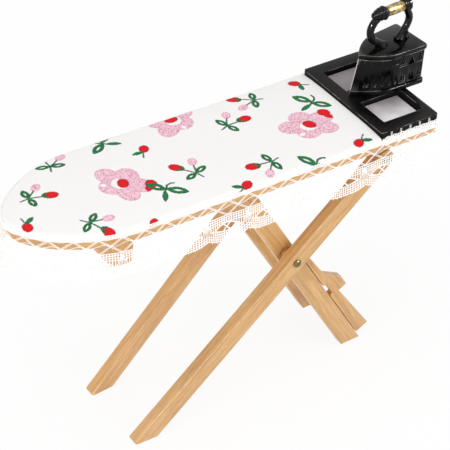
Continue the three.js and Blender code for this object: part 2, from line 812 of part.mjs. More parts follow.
iron.add(
  piece('iron_sole', ironLayer(ironSoleLip, 0, ironSoleHeight), finish.castBlack),
  piece('iron_body', makeIronBody(), finish.castBlack),
  piece('iron_lid', makeIronLid(), finish.castBlack),
  piece('iron_post_front', makePost(frontPostFoot, frontPostBow, gripStart - ferruleLength / 2), finish.castBlack),
  piece('iron_post_rear', makePost(ironLength - rearPostInset, ironLength - rearBowInset,
    gripEnd + rearFerruleLength / 2), finish.castBlack),
  piece('iron_ferrule_front', makeFerrule(gripStart - seatGap - ferruleLength, ferruleLength, ferruleRings),
    finish.castBlack),
  piece('iron_ferrule_rear', makeFerrule(gripEnd + seatGap, rearFerruleLength, rearFerruleRings),
    finish.castBlack),
  piece('iron_grip', makeGrip(), finish.brass),
);

// The part's origin is on the floor below the middle of its outline
part.updateMatrixWorld(true);
const bounds = new THREE.Box3().setFromObject(part);
part.position.x = -(bounds.min.x + bounds.max.x) / 2;
part.position.y = -(bounds.min.y + bounds.max.y) / 2;

export default part;
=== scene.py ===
"""A dressed dollhouse ironing board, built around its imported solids. Lengths are in metres."""
import json
import math

import bmesh
import bpy
import numpy as np
from mathutils import Matrix, Vector, noise


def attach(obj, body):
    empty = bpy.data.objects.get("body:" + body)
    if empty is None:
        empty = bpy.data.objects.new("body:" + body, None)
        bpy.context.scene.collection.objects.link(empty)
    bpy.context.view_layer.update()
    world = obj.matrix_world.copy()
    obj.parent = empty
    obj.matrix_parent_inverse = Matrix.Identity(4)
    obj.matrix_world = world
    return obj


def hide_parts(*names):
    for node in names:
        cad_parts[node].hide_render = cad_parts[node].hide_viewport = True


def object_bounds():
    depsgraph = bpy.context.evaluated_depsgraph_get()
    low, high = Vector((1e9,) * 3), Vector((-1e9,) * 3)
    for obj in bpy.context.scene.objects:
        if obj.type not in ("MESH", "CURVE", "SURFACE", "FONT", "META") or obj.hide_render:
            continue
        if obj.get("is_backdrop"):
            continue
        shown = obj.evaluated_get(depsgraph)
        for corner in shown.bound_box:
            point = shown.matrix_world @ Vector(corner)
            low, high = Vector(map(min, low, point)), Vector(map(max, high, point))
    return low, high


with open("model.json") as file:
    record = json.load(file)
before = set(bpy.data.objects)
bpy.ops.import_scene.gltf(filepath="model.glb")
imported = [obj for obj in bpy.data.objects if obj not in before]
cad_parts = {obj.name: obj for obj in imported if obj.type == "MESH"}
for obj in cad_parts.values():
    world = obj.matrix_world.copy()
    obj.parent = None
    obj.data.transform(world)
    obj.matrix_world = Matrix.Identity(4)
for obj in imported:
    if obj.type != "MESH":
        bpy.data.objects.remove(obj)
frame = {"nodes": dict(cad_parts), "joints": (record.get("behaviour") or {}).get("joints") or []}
cad_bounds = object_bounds()
MM = 0.001


# Camera and studio. The view is from above the near long side, with the square end away
# to the right. A long lens far off gives the flat perspective of a catalogue picture.
joints = {j["name"]: j for j in frame["joints"]}
hinge = Vector(joints["fold"]["pos_m"])
lens_mm = 169.17
sensor_mm = 36
camera_from_hinge_mm = Vector((-256.755, -341.772, 308.249))
camera_azimuth = math.radians(32.80)
camera_elevation = math.radians(38.48)
camera_roll = math.radians(0.555)
camera_data = bpy.data.cameras.new("camera")
camera_data.lens = lens_mm
camera_data.sensor_width = sensor_mm
camera_data.clip_start = 0.01
camera = bpy.data.objects.new("camera", camera_data)
bpy.context.scene.collection.objects.link(camera)
bpy.context.scene.camera = camera
camera.matrix_world = (
    Matrix.Translation(hinge + camera_from_hinge_mm * MM)
    @ Matrix.Rotation(-camera_azimuth, 4, "Z")
    @ Matrix.Rotation(math.pi / 2 - camera_elevation, 4, "X")
    @ Matrix.Rotation(-camera_roll, 4, "Z")
)
bpy.context.scene.view_settings.view_transform = "Standard"


def srgb(code):
    """The linear colour of an sRGB hex value."""
    parts = [int(code[i : i + 2], 16) / 255 for i in (1, 3, 5)]
    return [p / 12.92 if p <= 0.04045 else ((p + 0.055) / 1.055) ** 2.4 for p in parts] + [1]


def add(tree, kind, links=None, **settings):
    """A new node with its settings. links gives an input a value, an output or a node's first output."""
    made = tree.nodes.new(kind)
    for name, value in settings.items():
        setattr(made, name, value)
    for name, value in (links or {}).items():
        source = value.outputs[0] if isinstance(value, bpy.types.Node) else value
        if isinstance(source, bpy.types.NodeSocket):
            tree.links.new(source, made.inputs[name])
        else:
            made.inputs[name].default_value = source
    return made


def material(name, **values):
    """A new material with a principled shader set to these values, with its tree and its shader."""
    made = bpy.data.materials.new(name)
    made.use_nodes = True
    tree = made.node_tree
    tree.nodes.clear()
    shader = add(tree, "ShaderNodeBsdfPrincipled", {k.replace("_", " "): v for k, v in values.items()})
    add(tree, "ShaderNodeOutputMaterial", {"Surface": shader})
    return made, tree, shader


def seen_white(tree, unseen, seen):
    """A strength on rays that show the background itself, seen or in a gloss, and another on the rest."""
    path = add(tree, "ShaderNodeLightPath")
    share = path.outputs["Is Camera Ray"]
    for ray in ("Is Glossy Ray", "Is Transmission Ray"):
        share = add(tree, "ShaderNodeMath", {0: share, 1: path.outputs[ray]}, operation="MAXIMUM")
    return add(tree, "ShaderNodeMapRange", {"Value": share, "To Min": unseen, "To Max": seen})


# White paper under a bright even light: it shows plain white and takes a soft faint shadow.
floor_half = 3.0
floor_glow_share = 0.88
floor_mesh = bpy.data.meshes.new("floor")
floor_corners = [(x * floor_half, y * floor_half, 0) for x, y in ((-1, -1), (1, -1), (1, 1), (-1, 1))]
floor_mesh.from_pydata(floor_corners, [], [(0, 1, 2, 3)])
floor = bpy.data.objects.new("floor", floor_mesh)
bpy.context.scene.collection.objects.link(floor)
paper, paper_tree, paper_shader = material("white_paper_floor", Base_Color=srgb("#FFFFFF"), Roughness=0.9)
floor_glow = add(paper_tree, "ShaderNodeEmission", {"Color": srgb("#FFFFFF"), "Strength": 1.0})
floor_mix = add(
    paper_tree,
    "ShaderNodeMixShader",
    {0: seen_white(paper_tree, 0, floor_glow_share), 1: paper_shader, 2: floor_glow},
)
paper_tree.links.new(floor_mix.outputs[0], paper_tree.nodes["Material Output"].inputs["Surface"])
floor_mesh.materials.append(paper)
floor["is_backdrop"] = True

sky_light = 0.65
sky_seen = 1.0
world = bpy.data.worlds.new("studio")
world.use_nodes = True
bpy.context.scene.world = world
sky = world.node_tree.nodes["Background"]
sky.inputs["Color"].default_value = srgb("#FFFFFF")
sky_strength = seen_white(world.node_tree, sky_light, sky_seen)
world.node_tree.links.new(sky_strength.outputs[0], sky.inputs["Strength"])

# A key from the near right, a wide lamp overhead, one from the left, and two small bright ones
# that show only as glints in a gloss.
lamp_aim = Vector((0, 0, 0.04))
for name, place, size, power in (
    ("key_lamp", (0.45, -0.95, 0.42), 0.4, 2.1),
    ("top_lamp", (-0.25, -0.15, 0.95), 0.9, 2.75),
    ("side_lamp", (-0.95, -0.5, 0.3), 0.5, 1.6),
    ("right_glint", (0.54, -0.62, 0.69), 0.16, 15),
    ("left_glint", (-0.9, -0.3, 0.55), 0.16, 15),
):
    lamp_data = bpy.data.lights.new(name, "AREA")
    lamp_data.size = size
    lamp_data.energy = power
    lamp = bpy.data.objects.new(name, lamp_data)
    bpy.context.scene.collection.objects.link(lamp)
    lamp.location = place
    lamp.rotation_euler = (lamp_aim - Vector(place)).to_track_quat("-Z", "Y").to_euler()
    lamp.visible_diffuse = not name.endswith("glint")


# Wooden parts: sawn beech strips, sanded and dipped in a clear yellowish varnish. The deck,
# battens and legs are each cut with the grain along their length and pinned or glued.
deck_up = Vector(joints["iron_lift"]["axis"]).normalized()
deck_lean = math.atan2(deck_up.x, deck_up.z)
long_leg_run = hinge - Vector(joints["cross"]["pos_m"])
long_leg_slope = math.atan2(long_leg_run.z, long_leg_run.x)
short_leg_slope = -math.radians(62.2)
deck_edge_mm = 0.3
strip_edge_mm = 0.22
dowel_edge_mm = 0.1


def keep(name, mesh, body, look):
    """Links a finished mesh as a piece that rides on a body and takes that look."""
    mesh.materials.clear()
    mesh.materials.append(look)
    piece = bpy.data.objects.new(name, mesh)
    bpy.context.scene.collection.objects.link(piece)
    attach(piece, body)
    return piece


def eased(name, node, width_mm, look, body, segments=2):
    """A copy of a CAD node with its facets merged and its edges rounded, which stands for the node."""
    merged_mm = 0.002
    level_angle = math.radians(0.6)
    edge_angle = math.radians(35)
    mesh = frame["nodes"][node].data.copy()
    form = bmesh.new()
    form.from_mesh(mesh)
    bmesh.ops.remove_doubles(form, verts=form.verts, dist=merged_mm * MM)
    bmesh.ops.dissolve_limit(form, angle_limit=level_angle, verts=form.verts, edges=form.edges)
    form.to_mesh(mesh)
    form.free()
    draft = bpy.data.objects.new("draft", mesh)
    bpy.context.scene.collection.objects.link(draft)
    bevel = draft.modifiers.new("round", "BEVEL")
    bevel.width = width_mm * MM
    bevel.segments = segments
    bevel.limit_method = "ANGLE"
    bevel.angle_limit = edge_angle
    result = bpy.data.meshes.new_from_object(draft.evaluated_get(bpy.context.evaluated_depsgraph_get()))
    bpy.data.objects.remove(draft)
    result.name = name
    for face in result.polygons:
        face.use_smooth = True
    result.set_sharp_from_angle(angle=edge_angle)
    piece = keep(name, result, body, look)
    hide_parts(node)
    return piece


def worn_and_lit_edges(tree, width_mm, speckle, low, high):
    """How much a place is rubbed and lit: one at sharp edges that face up and left, toward the lamps,
    broken up by a speckle. The lightening it drives is partly wear and partly painted highlight.
    """
    # The side that the painted edge highlights favour: up and left, toward the lamps.
    lit_side = (-0.45, -0.4, 0.8)
    eased_normal = add(tree, "ShaderNodeBevel", {"Radius": width_mm * MM}, samples=6)
    flat_normal = add(tree, "ShaderNodeNewGeometry").outputs["True Normal"]
    level = add(tree, "ShaderNodeVectorMath", {0: eased_normal, 1: flat_normal}, operation="DOT_PRODUCT")
    facing = add(tree, "ShaderNodeVectorMath", {0: eased_normal, 1: lit_side}, operation="DOT_PRODUCT")
    rubbed = add(
        tree, "ShaderNodeMapRange", {"Value": level.outputs["Value"], "From Min": 0.985, "From Max": 0.9}
    )
    for value, start, end in ((speckle, low, high), (facing.outputs["Value"], 0.1, 0.7)):
        part = add(tree, "ShaderNodeMapRange", {"Value": value, "From Min": start, "From Max": end})
        rubbed = add(tree, "ShaderNodeMath", {0: rubbed, 1: part}, operation="MULTIPLY")
    return rubbed


# Varnished beech gives a warm tan with darker streaks along the grain under a satin gloss, and
# pale edges that are partly rubbing and partly painted highlight, strongest where they face up and left
# toward the lamps. The pores are coarser than real ones, which are too fine to show.
wood_light = "#E8BA7B"
wood_mid = "#DDAA6A"
wood_dark = "#CD9757"
wood_rubbed_and_lit = "#F4DDB4"
grain_width_mm = 0.4
grain_stretch = 18
pore_width_mm = 0.14
blotch_width_mm = 14
wood_lit_rub_mm = 0.3


def varnished_beech(name, turn, seed, axis, painted_light):
    """Beech whose grain runs along X once the coordinates are turned about the axis, made lighter or darker
    by a factor that paints in light and shade.
    """
    look, tree, shader = material(name, Roughness=0.42, Coat_Weight=0.35, Coat_Roughness=0.22)
    place = add(tree, "ShaderNodeTexCoord").outputs["Object"]
    turned = add(tree, "ShaderNodeVectorRotate", {"Vector": place, "Angle": turn}, rotation_type=axis)
    grain = add(
        tree,
        "ShaderNodeMapping",
        {"Vector": turned, "Location": (seed, seed * 2, seed * 3), "Scale": (1 / grain_stretch, 1, 1)},
    )
    figure = add(
        tree,
        "ShaderNodeTexNoise",
        {"Vector": grain, "Scale": 1 / (grain_width_mm * 2 * MM), "Detail": 3, "Distortion": 0.6},
    )
    pores = add(
        tree,
        "ShaderNodeTexNoise",
        {"Vector": grain, "Scale": 1 / (pore_width_mm * MM), "Detail": 2, "Roughness": 0.7},
    )
    blotch = add(
        tree, "ShaderNodeTexNoise", {"Vector": place, "Scale": 1 / (blotch_width_mm * MM), "Detail": 2}
    )
    tone = add(tree, "ShaderNodeValToRGB", {"Fac": figure})
    tone.color_ramp.elements.new(0.5)
    for step, position, colour in zip(
        tone.color_ramp.elements, (0.3, 0.48, 0.68), (wood_dark, wood_mid, wood_light)
    ):
        step.position = position
        step.color = srgb(colour)
    streak = add(
        tree,
        "ShaderNodeMapRange",
        {"Value": pores, "From Min": 0.35, "From Max": 0.6, "To Min": 0.88, "To Max": 1.02},
    )
    warm = add(
        tree,
        "ShaderNodeMapRange",
        {"Value": blotch, "From Min": 0.3, "From Max": 0.7, "To Min": 0.93 * painted_light, "To Max": 1.04 * painted_light},
    )
    both = add(tree, "ShaderNodeMath", {0: streak, 1: warm}, operation="MULTIPLY")
    colour = add(tree, "ShaderNodeVectorMath", {0: tone, "Scale": both.outputs[0]}, operation="SCALE")
    # Pale edges: partly rubbed varnish, partly a painted highlight on edges that face up and left.
    rubbed = worn_and_lit_edges(tree, wood_lit_rub_mm, pores, 0.42, 0.56)
    worn = add(tree, "ShaderNodeMix", {0: rubbed, 6: colour, 7: srgb(wood_rubbed_and_lit)}, data_type="RGBA")
    bump = add(tree, "ShaderNodeBump", {"Height": pores, "Strength": 0.25, "Distance": 0.05 * MM})
    tree.links.new(worn.outputs[2], shader.inputs["Base Color"])
    tree.links.new(bump.outputs[0], shader.inputs["Normal"])
    return look


# The last column is painted light and shade: it darkens the near long leg, the short legs and the wedge
# bar, and lightens the far long leg, for how the light falls on them.
for name, node, body, edge_mm, turn, seed, axis, painted_light in (
    ("deck_board", "deck_panel", "deck", deck_edge_mm, -deck_lean, 0.3, "Y_AXIS", 1.0),
    ("nose_rest", "nose_batten", "deck", strip_edge_mm, math.pi / 2, 0.9, "Z_AXIS", 1.0),
    ("cleat_near", "hinge_cleat_near", "deck", strip_edge_mm, 0, 0.5, "Y_AXIS", 1.0),
    ("long_leg_near", "outer_leg_near", "outer_legs", strip_edge_mm, long_leg_slope, 1.3, "Y_AXIS", 0.95),
    ("short_leg_near", "inner_leg_near", "inner_legs", strip_edge_mm, short_leg_slope, 2.4, "Y_AXIS", 0.93),
    ("cleat_far", "hinge_cleat_far", "deck", strip_edge_mm, 0, 0.5, "Y_AXIS", 1.0),
    ("long_leg_far", "outer_leg_far", "outer_legs", strip_edge_mm, long_leg_slope, 1.9, "Y_AXIS", 1.08),
    ("short_leg_far", "inner_leg_far", "inner_legs", strip_edge_mm, short_leg_slope, 3.1, "Y_AXIS", 0.93),
    ("leg_top_dowel", "inner_top_rail", "inner_legs", dowel_edge_mm, math.pi / 2, 3.7, "Z_AXIS", 1.0),
    ("leg_foot_rail", "foot_rail", "inner_legs", strip_edge_mm, math.pi / 2, 4.2, "Z_AXIS", 1.0),
    ("wedge_bar", "catch_bar", "inner_legs", strip_edge_mm, short_leg_slope, 4.9, "Y_AXIS", 0.93),
):
    beech = varnished_beech(f"beech_{name}", turn, seed, axis, painted_light)
    eased(name, node, edge_mm, beech, body)


# Pins and washers: cut plated wire with domed heads, and thin turned brass washers that keep
# the two pairs of legs apart. The pins are pressed through cleats and legs.
# Dulled plating gives a dark brown head with a weak glint, and varnished brass an even tan.
stain_width_mm = 0.7
pin_edge_mm = 0.06
washer_edge_mm = 0.1
dull_pin, pin_tree, pin_shader = material("dulled_plated_steel", Metallic=0.9, Roughness=0.42)
pin_place = add(pin_tree, "ShaderNodeTexCoord").outputs["Object"]
pin_stain = add(pin_tree, "ShaderNodeTexNoise", {"Vector": pin_place, "Scale": 1 / (stain_width_mm * MM)})
pin_tone = add(
    pin_tree, "ShaderNodeMix", {0: pin_stain, 6: srgb("#4A4228"), 7: srgb("#8D8055")}, data_type="RGBA"
)
pin_tree.links.new(pin_tone.outputs[2], pin_shader.inputs["Base Color"])
thin_brass = material("varnished_brass", Base_Color=srgb("#C48F4E"), Metallic=0.2, Roughness=0.5)[0]
for side in ("near", "far"):
    for name, node, edge_mm, look, body in (
        ("hinge_nail", "hinge_pin", pin_edge_mm, dull_pin, "deck"),
        ("pivot_nail", "pivot_pin", pin_edge_mm, dull_pin, "outer_legs"),
        ("leg_washer", "pivot_washer", washer_edge_mm, thin_brass, "outer_legs"),
    ):
        eased(f"{name}_{side}", f"{node}_{side}", edge_mm, look, body)


# Wadding: a thin white polyester pad laid on the deck under the cotton. It is only glued at
# its edge, and the cover presses it flat.
# Polyester wadding gives a dull white with a felted, uneven surface.
fibre_width_mm = 0.3
wadding_edge_mm = 0.05
wadding_look, wadding_tree, wadding_shader = material(
    "polyester_wadding", Base_Color=srgb("#F4F1EA"), Roughness=1.0
)
wadding_fibre = add(
    wadding_tree,
    "ShaderNodeTexNoise",
    {
        "Vector": add(wadding_tree, "ShaderNodeTexCoord").outputs["Object"],
        "Scale": 1 / (fibre_width_mm * MM),
        "Detail": 4,
    },
)
wadding_bump = add(
    wadding_tree, "ShaderNodeBump", {"Height": wadding_fibre, "Strength": 0.6, "Distance": 0.2 * MM}
)
wadding_tree.links.new(wadding_bump.outputs[0], wadding_shader.inputs["Normal"])
wadding = eased("wadding", "wadding_pad", wadding_edge_mm, wadding_look, "deck")


# Cotton cover: thin white cotton printed with pink flowers, red buds and green leaves. It is
# drawn tight over the wadding, turned down over the deck's edge and glued there.

# Its places are millimetres in the deck's own frame: the origin is the leg hinge, x runs
# along the board to the square end and z stands square to it.
deck_along = Vector((deck_up.z, 0, -deck_up.x))
deck_turn = Matrix((deck_along, (0, 1, 0), deck_up)).transposed()
deck_place = Matrix.Translation(hinge) @ deck_turn.to_4x4()


def deck_box(node):
    """Lowest and highest corner of a CAD node in the deck's frame, in millimetres."""
    inside = deck_place.inverted()
    corners = np.array([inside @ v.co for v in frame["nodes"][node].data.vertices]) / MM
    return corners.min(0), corners.max(0)


def from_deck(points):
    """Deck millimetres as world metres."""
    turned = np.array(deck_place.to_3x3()) * MM
    return np.asarray(points) @ turned.T + np.array(deck_place.translation)


cover_low, cover_high = deck_box("cotton_cover")
cover_half = cover_high[1]
nose_power = 1.7
nose_reach = 24.5
nose_start = cover_low[0] + nose_reach


def board_edge(grow, tail, count):
    """Even points from the near tail corner round the blunt oval nose to the far one.

    They come with their outward directions and with their places along the run.
    """
    steps = 1441
    turn = np.linspace(-math.pi / 2, math.pi / 2, steps)
    x = nose_start - (nose_reach + grow) * np.abs(np.cos(turn)) ** (2 / nose_power)
    y = (cover_half + grow) * np.sign(np.sin(turn)) * np.abs(np.sin(turn)) ** (2 / nose_power)
    line = np.vstack([[tail, y[0]], np.column_stack([x, y]), [tail, y[-1]]])
    run = np.concatenate([[0], np.cumsum(np.hypot(*np.diff(line, axis=0).T))])
    at = np.linspace(0, run[-1], count)
    place = np.column_stack([np.interp(at, run, line[:, k]) for k in (0, 1)])
    along = np.gradient(place, axis=0)
    along /= np.linalg.norm(along, axis=1)[:, None]
    return place, np.column_stack([-along[:, 1], along[:, 0]]), at


cover_columns = 960
cover_rows = 79
round_rows = 6
side_rows = 9
cover_round = 0.6
cover_crown = 0.5
cover_rim = cover_high[2] - cover_crown
cover_hem = 0.35
cover_foot = 5.75
ripple_length = 9
ripple_height = 0.05
edge, edge_out = board_edge(0, cover_high[0], cover_columns)[:2]
inner = edge - edge_out * cover_round
spine = np.column_stack([np.maximum(edge[:, 0], nose_start), np.zeros(cover_columns)])

# The profile runs from the spine over the rounded edge and down to the hem. Each row is its
# share of the way across, how far it stands out and up, and its flat run beyond the edge.
profile = [(share, 0, cover_crown * (1 - share**4), 0) for share in np.linspace(0, 1, cover_rows)]
for turn in np.linspace(0, math.pi / 2, round_rows + 1)[1:]:
    rise = cover_round * (math.cos(turn) - 1)
    profile.append((1, cover_round * math.sin(turn), rise, cover_round * turn))
side_depth = cover_rim - cover_round - cover_foot
for share in np.linspace(0, 1, side_rows + 1)[1:]:
    depth = side_depth * share
    profile.append((1, cover_round, -cover_round - depth, cover_round * math.pi / 2 + depth))
profile.append((1, cover_round - cover_hem, cover_foot - cover_rim, profile[-1][3] + cover_hem))
places, flats = [], []
for share, proud, rise, beyond in profile:
    across = spine + (inner - spine) * share
    places.append(np.column_stack([across + edge_out * proud, np.full(cover_columns, cover_rim + rise)]))
    flats.append(across + edge_out * beyond)
places, flat = np.vstack(places), np.vstack(flats)
ripple = np.array([noise.noise(Vector((x / ripple_length, y / ripple_length, 0))) for x, y in flat])
places[:, 2] += ripple_height * ripple * (places[:, 2] > cover_rim - cover_round)

# The print is drawn as distances in millimetres to each ink's nearest edge, less than
# nothing inside it, which the cloth carries as an attribute.
bare_distance = 2.0
ink = {name: np.full(len(flat), bare_distance) for name in ("pink", "rose", "red", "green")}


def blot(p, centre, radii, turn=0):
    """Distance to an oval."""
    c, s = math.cos(turn), math.sin(turn)
    q = (p - centre) @ np.array([[c, -s], [s, c]])
    return (np.hypot(q[:, 0] / radii[0], q[:, 1] / radii[1]) - 1) * min(radii)


def leaf(p, base, tip, width):
    """Distance to a pointed leaf from its base to its tip."""
    base, tip = np.array(base, float), np.array(tip, float)
    half = np.linalg.norm(tip - base) / 2
    radius = (half**2 + (width / 2) ** 2) / width
    side = np.array([base[1] - tip[1], tip[0] - base[0]]) / (2 * half) * (radius - width / 2)
    middle = (base + tip) / 2
    arcs = [np.linalg.norm(p - middle - way * side, axis=1) for way in (1, -1)]
    return np.maximum(*arcs) - radius


def stroke(p, points, width):
    """Distance to a bent line of a pen."""
    best = np.full(len(p), 9.0)
    for a, b in zip(np.array(points[:-1], float), np.array(points[1:], float)):
        share = np.clip((p - a) @ (b - a) / ((b - a) @ (b - a)), 0, 1)
        best = np.minimum(best, np.linalg.norm(p - a - share[:, None] * (b - a), axis=1))
    return best - width / 2


def open_leaf(p, base, tip, width):
    """A leaf drawn with a thick outline round a bare slit."""
    outline_share = 0.39
    whole = leaf(p, base, tip, width)
    return np.maximum(whole, -(whole + width * outline_share))


def flower(p):
    """Five round petals over each other about a bare patch and a red heart, with a bud beside them."""
    p = p / (0.96, 1.16)
    petal_sizes = ((3.3, 2.9, 2.6), (3.9, 2.9, 2.7), (3.2, 2.7, 2.6), (3.6, 2.8, 2.5), (3.7, 3.0, 2.6))
    rounds = []
    for k, (reach, long, wide) in enumerate(petal_sizes):
        turn = math.radians(72 * k + 18)
        rounds.append(blot(p, (reach * math.cos(turn), reach * math.sin(turn)), (long, wide), turn))
    bare = np.minimum(blot(p, (-0.5, 0.4), (2.1, 1.9)), blot(p, (-3.6, 2.6), (0.9, 0.6), 2.5))
    petals = np.maximum(np.minimum.reduce(rounds), -bare)
    overlaps = np.minimum.reduce([np.abs(one + 0.1) - 0.1 for one in rounds])
    inner_lines = np.maximum(overlaps, petals + 0.2)
    bud_beside = blot(p, (4.3, -4.4), (1.6, 1.35), 0.4)
    return (
        ("pink", petals),
        ("rose", np.minimum(np.abs(petals + 0.1) - 0.14, inner_lines)),
        ("red", blot(p, (0.1, 0), (1.75, 1.3), 0.5)),
        ("red", np.minimum(bud_beside, leaf(p, (3.9, -4.2), (1.3, -5.6), 1.5))),
    )


def leaves(p):
    """Three leaves on a curled stem."""
    stem = stroke(p, [(-2.6, -1.2), (-1.2, -0.4), (0, 0), (1.4, 0.9), (2.6, 0.7), (3.2, 0.2)], 0.5)
    drawn = [open_leaf(p, (-0.1, -0.1), (-1.4, 5.0), 2.5), open_leaf(p, (0.2, 0.1), (2.8, -4.6), 2.6)]
    drawn.append(leaf(p, (-0.6, -0.2), (-3.8, -2.8), 1.4))
    return (("green", np.minimum.reduce([stem, *drawn])),)


def sprig(p):
    """Two leaves, a pink bud and a red one with a green cap."""
    stem = stroke(p, [(-2.2, 0.3), (0, 0), (1.4, 0.9), (2.6, 1.5)], 0.42)
    side_stem = stroke(p, [(0, 0), (1.6, -0.8), (2.8, -1.5)], 0.42)
    pair = np.minimum(open_leaf(p, (0, 0), (0.8, 3.7), 1.9), open_leaf(p, (0, 0), (-0.6, -3.6), 1.9))
    cap = np.minimum(leaf(p, (2.6, -1.4), (4.2, -2.9), 0.8), leaf(p, (2.6, -1.4), (4.6, -0.8), 0.8))
    pink_bud = blot(p, (3.9, 2.3), (1.5, 1.1), 0.6)
    return (
        ("green", np.minimum.reduce([stem, side_stem, pair, cap])),
        ("pink", pink_bud),
        ("rose", np.abs(pink_bud + 0.14) - 0.14),
        ("red", blot(p, (4.7, -2.3), (1.8, 1.3), -0.5)),
    )


def bud(p):
    """A single red bud with a leaf."""
    stem = stroke(p, [(-1.2, -0.2), (-3.4, -1.1)], 0.4)
    return (
        ("red", blot(p, (0, 0), (1.6, 1.25), 0.3)),
        ("green", np.minimum(leaf(p, (-1.2, -0.2), (-3.4, 1.8), 1.3), stem)),
    )


def stamp(motif, u, y, degrees, flip):
    """Prints a motif at a place on the cloth."""
    reach = 10
    near = np.hypot(flat[:, 0] - u, flat[:, 1] - y) < reach
    c, s = math.cos(math.radians(degrees)), math.sin(math.radians(degrees))
    seen = (flat[near] - (u, y)) @ np.array([[c, -s], [s, c]])
    seen[:, 1] *= flip
    for name, distance in motif(seen):
        ink[name][near] = np.minimum(ink[name][near], distance)


for motif, u, y, degrees, flip in (
    (flower, -66, -1.5, 20, 1), (leaves, -58.5, -8.5, 20, 1), (flower, -14.5, -3.5, 75, 1),
    (leaves, -8.6, 4.2, 60, -1), (flower, -42, 15.6, 140, 1), (sprig, -87.5, 4.5, 10, 1),
    (sprig, -49, -6.5, 100, -1), (sprig, -32, 6.2, 30, 1), (sprig, -31, -11.5, 200, 1),
    (sprig, -77, 13.2, 60, -1), (sprig, -80, -10.4, -40, 1), (sprig, -20, 12.5, 170, 1),
    (bud, -54.5, 8, 40, 1), (bud, -7.2, 13.6, 120, 1), (bud, -41, -16, 10, 1), (bud, -8.4, -15.4, 200, 1),
    (leaves, -61.5, 15.4, 110, 1), (leaves, -22, -17.2, 15, 1), (bud, -67, -17.6, 90, -1),
    (bud, -92.8, -4.6, 250, 1),
):
    stamp(motif, u, y, degrees, flip)

faces = []
for row in range(len(profile) - 1):
    first = row * cover_columns + np.arange(cover_columns - 1)
    faces.append(np.column_stack([first, first + cover_columns, first + cover_columns + 1, first + 1]))
cover_mesh = bpy.data.meshes.new("printed_cover")
cover_mesh.from_pydata(from_deck(places), [], np.vstack(faces)[:, ::-1].tolist())
inks = cover_mesh.attributes.new("ink", "FLOAT_COLOR", "POINT")
inks.data.foreach_set("color", np.column_stack(list(ink.values())).astype(np.float32).ravel())
corners = np.empty(len(cover_mesh.loops), np.int32)
cover_mesh.loops.foreach_get("vertex_index", corners)
flat_map = cover_mesh.uv_layers.new(name="flat")
flat_map.data.foreach_set("uv", (flat[corners] * MM).astype(np.float32).ravel())
spine_merge_mm = 0.01
form = bmesh.new()
form.from_mesh(cover_mesh)
bmesh.ops.remove_doubles(form, verts=form.verts, dist=spine_merge_mm * MM)
bmesh.ops.recalc_face_normals(form, faces=form.faces)
form.to_mesh(cover_mesh)
form.free()
for face in cover_mesh.polygons:
    face.use_smooth = True

# Printed cotton is a matt white cloth, whose inks soak in with soft uneven edges. The pink's
# stipple and the weave are coarser than the real ones, which are too fine to show.
bleed_width_mm = 0.22
dot_pitch_mm = 0.4
thread_width_mm = 0.1
cotton, cotton_tree, cotton_shader = material(
    "printed_cotton", Roughness=0.85, Specular_IOR_Level=0.12, Sheen_Weight=0.04, Sheen_Roughness=0.4
)
cloth = add(cotton_tree, "ShaderNodeUVMap", uv_map="flat")
inked = add(cotton_tree, "ShaderNodeAttribute", attribute_name="ink")
ink_parts = add(cotton_tree, "ShaderNodeSeparateColor", {"Color": inked.outputs["Color"]})
bleed = add(
    cotton_tree, "ShaderNodeTexNoise", {"Vector": cloth, "Scale": 1 / (bleed_width_mm * MM), "Detail": 1}
)
dots = add(cotton_tree, "ShaderNodeTexVoronoi", {"Vector": cloth, "Scale": 1 / (dot_pitch_mm * MM)})
rough_edge = add(
    cotton_tree,
    "ShaderNodeMapRange",
    {"Value": bleed, "From Min": 0.25, "From Max": 0.75, "To Min": -0.16, "To Max": 0.16},
)
stipple = add(cotton_tree, "ShaderNodeMapRange", {"Value": dots, "From Min": 0.2, "From Max": 0.46})
speckle = add(
    cotton_tree,
    "ShaderNodeMapRange",
    {"Value": dots, "From Min": 0.05, "From Max": 0.3, "To Min": 0.45, "To Max": 1.0},
)
print_colour = srgb("#FCFAF9")
for output, dark, light, stippled in (
    (ink_parts.outputs[0], "#B95C86", "#FACFDD", True),
    (ink_parts.outputs[1], "#C27B9B", "#EFB9CB", True),
    (ink_parts.outputs[2], "#A50F1B", "#E8101F", False),
    (inked.outputs["Alpha"], "#0C5029", "#1A8246", False),
):
    distance = add(cotton_tree, "ShaderNodeMath", {0: output, 1: rough_edge}, operation="ADD")
    inside = add(
        cotton_tree, "ShaderNodeMapRange", {"Value": distance, "From Min": 0.05, "From Max": -0.05}
    )
    share = stipple
    if not stippled:
        deep = add(
            cotton_tree, "ShaderNodeMapRange", {"Value": distance, "From Min": -0.05, "From Max": -0.36}
        )
        share = add(cotton_tree, "ShaderNodeMath", {0: deep, 1: speckle}, operation="MULTIPLY")
    tone = add(cotton_tree, "ShaderNodeMix", {0: share, 6: srgb(dark), 7: srgb(light)}, data_type="RGBA")
    laid = add(
        cotton_tree, "ShaderNodeMix", {0: inside, 6: print_colour, 7: tone.outputs[2]}, data_type="RGBA"
    )
    print_colour = laid.outputs[2]
cotton_tree.links.new(print_colour, cotton_shader.inputs["Base Color"])
weave_scale = 1 / (2 * math.pi * thread_width_mm * MM)
warp, weft = [
    add(cotton_tree, "ShaderNodeTexWave", {"Vector": cloth, "Scale": weave_scale}, bands_direction=way)
    for way in ("X", "Y")
]
woven = add(
    cotton_tree, "ShaderNodeMath", {0: warp.outputs["Fac"], 1: weft.outputs["Fac"]}, operation="MULTIPLY"
)
cotton_bump = add(cotton_tree, "ShaderNodeBump", {"Height": woven, "Strength": 0.3, "Distance": 0.03 * MM})
cotton_tree.links.new(cotton_bump.outputs[0], cotton_shader.inputs["Normal"])
cover = keep("printed_cover", cover_mesh, "deck", cotton)
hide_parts("cotton_cover")
